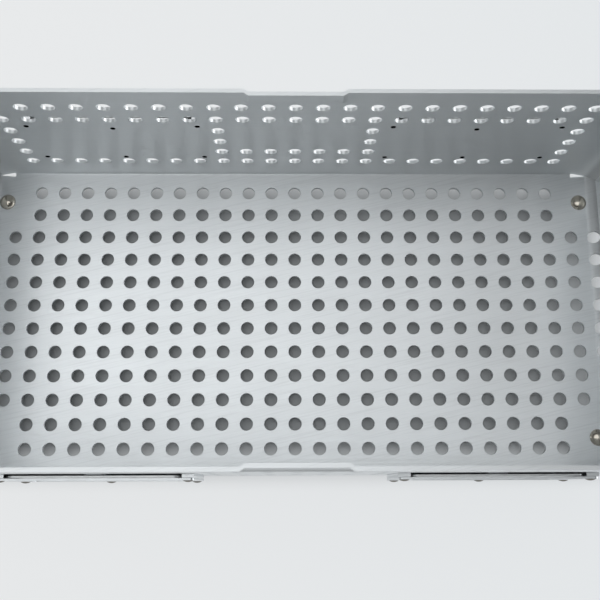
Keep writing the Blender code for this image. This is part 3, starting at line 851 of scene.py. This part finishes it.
bpy.ops.object.select_all(action="DESELECT")
bpy.ops.mesh.primitive_plane_add(size=TABLE_SIZE, location=(0, 0, 0))
table = bpy.context.object
table.name = "table"
table_finish, tree, shader, place = finish_of("pale_laminate_table", Metallic=0.0, Roughness=0.6)
clouds = node(tree, "TexNoise", {"Vector": place, "Scale": 1 / TABLE_CLOUD, "Detail": 1.0}).outputs[0]
tone = node(tree, "Mix", {0: clouds, 6: linear("#BBBDBE"), 7: linear("#C0C2C3")}, data_type="RGBA").outputs[2]
tree.links.new(tone, shader.inputs["Base Color"])

# The table is seen nearly white round the box, and in its true grey under it, where the holes show it. The
# white is held back under the box and fades in over a band round it, which paints a soft shadow round the box.
away = node(tree, "VectorMath", {0: place}, operation="ABSOLUTE").outputs[0]
away = node(tree, "VectorMath", {0: away, 1: (*SHADE_HALF, 1)}, operation="SUBTRACT").outputs[0]
away = node(tree, "VectorMath", {0: away, 1: (0, 0, 0)}, operation="MAXIMUM").outputs[0]
away = node(tree, "VectorMath", {0: away}, operation="LENGTH").outputs["Value"]
# Painted shadow: no white glow under the box, and a soft fade-in over SHADE_EDGE round it.
clear = node(tree, "MapRange", {"Value": away, "From Min": 0, "From Max": SHADE_EDGE, "To Max": TABLE_WHITE},
             interpolation_type="SMOOTHSTEP").outputs[0]
rays = node(tree, "LightPath").outputs
seen = node(tree, "Math", {0: rays["Is Camera Ray"], 1: rays["Is Glossy Ray"]}, operation="MAXIMUM").outputs[0]
seen = node(tree, "Math", {0: seen, 1: rays["Is Transmission Ray"]}, operation="MAXIMUM").outputs[0]
share = node(tree, "Math", {0: seen, 1: clear}, operation="MULTIPLY").outputs[0]
# Painted light: the white glow is brighter on the left, towards the soft light, and falls off to the right.
across_table = node(tree, "Mapping", {"Vector": place, "Location": (WHITE_MIDDLE, 0, 0),
                                      "Scale": (WHITE_SLOPE, 1, 1)}).outputs[0]
white = node(tree, "TexGradient", {"Vector": across_table}).outputs[0]
white = node(tree, "Mix", {0: white, 6: linear("#F0F5F8"), 7: linear("#FFFFFF")}, data_type="RGBA").outputs[2]
glow = node(tree, "Emission", {"Color": white, "Strength": 1.0}).outputs[0]
shown = node(tree, "MixShader", {0: share, 1: shader.outputs[0], 2: glow}).outputs[0]
tree.links.new(shown, tree.nodes["Material Output"].inputs["Surface"])
table.data.materials.append(table_finish)

# All light comes from the room. Turns are from the right, seen from above, and tilts are from straight up.
LIGHT_TILT = math.radians(9)
LIGHT_TURN = math.radians(170)
LIGHT_END = math.radians(42)      # from its middle
LIGHT_FADE = math.radians(18)     # from its middle to where it begins to fade
LIGHT_STRENGTH = 1.28
FLAG_TURN = math.radians(12)
FLAG_SIDE = (-0.01, 0.09)     # share of its direction over which the flag sets in
FLAG_DEPTH = (-0.24, -0.08)   # share of the way back over which it ends
ROOM_STRENGTH = 0.12
WALL_STRENGTH = 0.5
WALL_HEIGHT = math.radians(45)
WINDOW_TURN = math.radians(30)
WINDOW_STRENGTH = 4.0
DAYLIGHT = (0.97, 0.99, 1.0, 1.0)

room = bpy.data.worlds.new("room")
room.use_nodes = True
sky = room.node_tree
looking = node(sky, "TexCoord").outputs["Generated"]
split = node(sky, "SeparateXYZ", {"Vector": looking}).outputs


def direction(turn, tilt=math.radians(90)):
    return (math.sin(tilt) * math.cos(turn), math.sin(tilt) * math.sin(turn), math.cos(tilt))


def share_towards(way):
    """How far each direction of the room points along this one, from -1 to 1."""
    return node(sky, "VectorMath", {0: looking, 1: way}, operation="DOT_PRODUCT").outputs["Value"]


def faded(value, start, end, low, high):
    """A soft change from low to high as the value goes from start to end."""
    return node(sky, "MapRange", {"Value": value, "From Min": start, "From Max": end,
                                  "To Min": low, "To Max": high}, interpolation_type="SMOOTHSTEP").outputs[0]


soft_box = faded(share_towards(direction(LIGHT_TURN, LIGHT_TILT)), math.cos(LIGHT_END), math.cos(LIGHT_FADE),
                 0, LIGHT_STRENGTH)
# A black flag cuts the soft light at the front right, which the back wall mirrors.
past_flag = node(sky, "Math", {0: faded(share_towards(direction(FLAG_TURN)), *FLAG_SIDE, 1, 0),
                               1: faded(split["Y"], *FLAG_DEPTH, 0, 1)}, operation="MAXIMUM").outputs[0]
ceiling = node(sky, "Math", {0: soft_box, 1: past_flag, 2: ROOM_STRENGTH}, operation="MULTIPLY_ADD").outputs[0]
low = faded(split["Z"], 0, math.sin(WALL_HEIGHT), 1, 0)
walls = node(sky, "MapRange", {"Value": share_towards(direction(WINDOW_TURN)), "To Min": WALL_STRENGTH,
                               "To Max": WINDOW_STRENGTH}).outputs[0]
light = node(sky, "Math", {0: low, 1: walls, 2: ceiling}, operation="MULTIPLY_ADD").outputs[0]
sky.links.new(light, sky.nodes["Background"].inputs["Strength"])
sky.nodes["Background"].inputs["Color"].default_value = DAYLIGHT
bpy.context.scene.world = room

# The camera looks down into the box, from the place that fits the photograph's holes.
camera_data = bpy.data.cameras.new("camera")
camera_data.lens = 49.82
camera_data.sensor_width = 36.0
camera_data.clip_start = 0.01
camera = bpy.data.objects.new("camera", camera_data)
camera.location = (-0.00299, -0.07166, 0.34940)
camera.rotation_euler = (math.radians(12.927), math.radians(-0.816), math.radians(-0.225))
bpy.context.collection.objects.link(camera)
bpy.context.scene.camera = camera
bpy.context.scene.view_settings.view_transform = "Standard"

bpy.context.view_layer.update()
